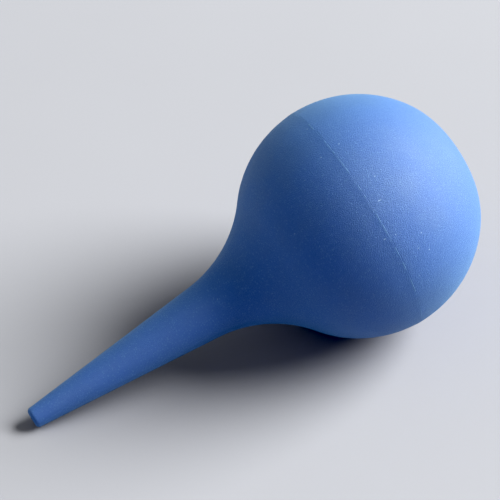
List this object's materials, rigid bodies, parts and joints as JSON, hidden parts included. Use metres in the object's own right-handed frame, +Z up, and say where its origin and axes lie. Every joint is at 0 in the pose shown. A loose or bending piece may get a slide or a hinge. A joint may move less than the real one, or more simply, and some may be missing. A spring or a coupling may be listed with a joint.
{
  "type": "nasal aspirator",
  "caption": "Hollow rubber bulb with a long tapered nozzle, squeezed by hand to draw mucus from a baby's nose; its half shells are bonded round the bulb.",
  "frame": {"origin": "centre of the box's bottom face, on the table that the aspirator lies on", "axes": "+Z up; the nozzle points to -X and the back of the bulb to +X; the bulb's long axis lies in the XZ plane and rises 17.1 degrees from the nozzle to the bulb"},
  "size_m": [0.104, 0.052, 0.052],
  "materials": {
    "bulb_rubber": "matte blue moulded rubber with a fine bloom",
    "bond_cement": "slightly paler cured rubber cement"
  },
  "bodies": {
    "front": {"front_shell": "bulb_rubber", "seam_bond": "bond_cement"},
    "rear": {"rear_shell": "bulb_rubber"}
  },
  "joints": [
    {"name": "squeeze", "type": "slide", "parent": "front", "child": "rear", "axis": [-0.9557, 0, -0.2942], "range_m": [0, 0.016], "stiffness_N_per_m": 800, "deforming": ["rear_shell"]}
  ]
}
